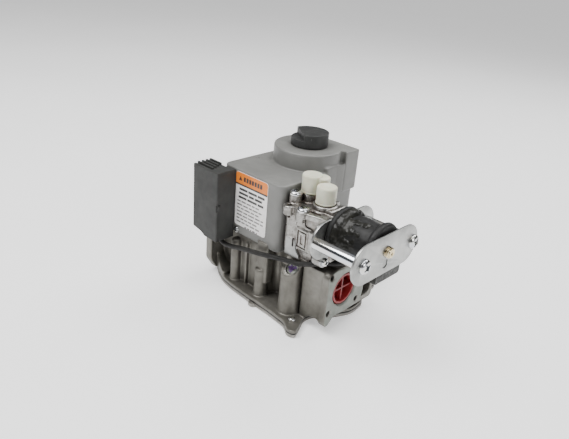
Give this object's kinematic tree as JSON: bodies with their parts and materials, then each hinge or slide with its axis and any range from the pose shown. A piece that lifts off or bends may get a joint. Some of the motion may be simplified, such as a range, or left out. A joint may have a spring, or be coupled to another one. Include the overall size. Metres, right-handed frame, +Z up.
{
  "type": "gas valve",
  "caption": "Two-stage gas valve: cast body with pipe ports and flange, painted cover with rotary knob, capped regulator adjusters and a side solenoid.",
  "frame": {"origin": "centre of the base plate's flat underside", "axes": "+X downstream, out of the outlet flange; -Y the label side; +Z up, towards the knob"},
  "size_m": [0.1574, 0.1154, 0.118],
  "materials": {
    "cast_aluminium": "as-cast, lightly tumbled",
    "bottom_plate": "cast, dull",
    "zinc_screws": "bright zinc plate",
    "black_rubber": "matte sheet rubber",
    "spring_steel": "drawn wire",
    "steel_inner": "plain machined steel",
    "black_bobbin": "moulded, glossy",
    "copper_winding": "enamelled copper wire",
    "coil_wrap": "black sealing compound over tape",
    "grey_paint": "satin warm-grey paint",
    "charcoal_plastic": "fine-textured",
    "knob_plastic": "moulded, satin",
    "brass": "machined",
    "post_metal": "yellow-passivated",
    "label": "blank printed film with an orange band",
    "regulator_zinc": "bright die-cast",
    "plate_zinc": "zinc-plated sheet",
    "tube_chrome": "bright plated tube",
    "lead_sheath": "black insulated lead",
    "ivory_caps": "off-white moulded",
    "red_plugs": "red polyethylene"
  },
  "bodies": {
    "body": {"valve_body": "cast_aluminium", "base_plate": "bottom_plate", "base_screw_1": "zinc_screws", "base_screw_2": "zinc_screws", "base_screw_3": "zinc_screws", "base_screw_4": "zinc_screws", "base_screw_5": "zinc_screws", "diaphragm_sheet": "black_rubber", "lug_screw": "zinc_screws", "pressure_tap_plug": "zinc_screws", "inlet_screen": "steel_inner", "main_spring": "spring_steel", "deck_plate": "steel_inner", "shutoff_guide_tube": "steel_inner", "shutoff_bobbin": "black_bobbin", "shutoff_coil": "copper_winding", "shutoff_yoke": "steel_inner", "shutoff_spring": "spring_steel", "cover_housing": "grey_paint", "cover_screw": "zinc_screws", "connector_housing": "charcoal_plastic", "terminal_1": "brass", "terminal_2": "brass", "terminal_3": "brass", "label_plate": "label", "regulator_body": "regulator_zinc", "regulator_screw_front": "zinc_screws", "regulator_screw_rear": "zinc_screws", "adjust_spring_low": "spring_steel", "adjust_spring_high": "spring_steel", "solenoid_rear_plate": "plate_zinc", "solenoid_front_plate": "plate_zinc", "spacer_tube_front": "tube_chrome", "spacer_tube_back": "tube_chrome", "clamp_screw_front": "zinc_screws", "clamp_screw_back": "zinc_screws", "rear_plate_screw": "zinc_screws", "solenoid_bobbin": "black_bobbin", "solenoid_winding": "coil_wrap", "solenoid_core": "post_metal", "solenoid_spring": "spring_steel", "coil_lead": "lead_sheath"},
    "knob": {"knob": "knob_plastic", "knob_stem": "steel_inner", "manual_valve_plug": "brass"},
    "shutoff_plunger": {"shutoff_plunger": "steel_inner", "shutoff_disc": "black_rubber"},
    "main_poppet": {"main_poppet": "steel_inner"},
    "adjuster_low": {"adjust_screw_low": "brass"},
    "adjuster_high": {"adjust_screw_high": "brass"},
    "cap_low": {"cap_low": "ivory_caps"},
    "cap_high": {"cap_high": "ivory_caps"},
    "stage_plunger": {"solenoid_plunger": "steel_inner"},
    "outlet_plug": {"outlet_plug": "red_plugs"},
    "inlet_plug": {"inlet_plug": "red_plugs"}
  },
  "joints": [
    {"name": "knob_turn", "type": "hinge", "parent": "body", "child": "knob", "pos_m": [-0.0162, 0.0148, 0.108], "axis": [0, 0, 1], "range_deg": [-90, 0]},
    {"name": "shutoff_lift", "type": "slide", "parent": "body", "child": "shutoff_plunger", "axis": [0, 0, 1], "range_m": [0, 0.0026], "stiffness_N_per_m": 250, "springref_m": -0.006, "deforming": ["shutoff_spring"]},
    {"name": "main_valve_lift", "type": "slide", "parent": "body", "child": "main_poppet", "axis": [0, 0, 1], "range_m": [0, 0.0035], "stiffness_N_per_m": 180, "springref_m": -0.008, "deforming": ["main_spring"]},
    {"name": "low_fire_adjust", "type": "hinge", "parent": "body", "child": "adjuster_low", "pos_m": [0.0192, -0.0202, 0.085], "axis": [0, 0, 1], "range_deg": [-720, 720]},
    {"name": "high_fire_adjust", "type": "hinge", "parent": "body", "child": "adjuster_high", "pos_m": [0.035, -0.0236, 0.083], "axis": [0, 0, 1], "range_deg": [-720, 720]},
    {"name": "low_cap_lift", "type": "slide", "parent": "body", "child": "cap_low", "axis": [0, 0, 1], "range_m": [0, 0.022]},
    {"name": "high_cap_lift", "type": "slide", "parent": "body", "child": "cap_high", "axis": [0, 0, 1], "range_m": [0, 0.022]},
    {"name": "stage_plunger_slide", "type": "slide", "parent": "body", "child": "stage_plunger", "axis": [1, 0, 0], "range_m": [0, 0.0035], "stiffness_N_per_m": 200, "springref_m": -0.004},
    {"name": "outlet_plug_pull", "type": "slide", "parent": "body", "child": "outlet_plug", "axis": [1, 0, 0], "range_m": [0, 0.035]},
    {"name": "inlet_plug_pull", "type": "slide", "parent": "body", "child": "inlet_plug", "axis": [-1, 0, 0], "range_m": [0, 0.035]}
  ]
}
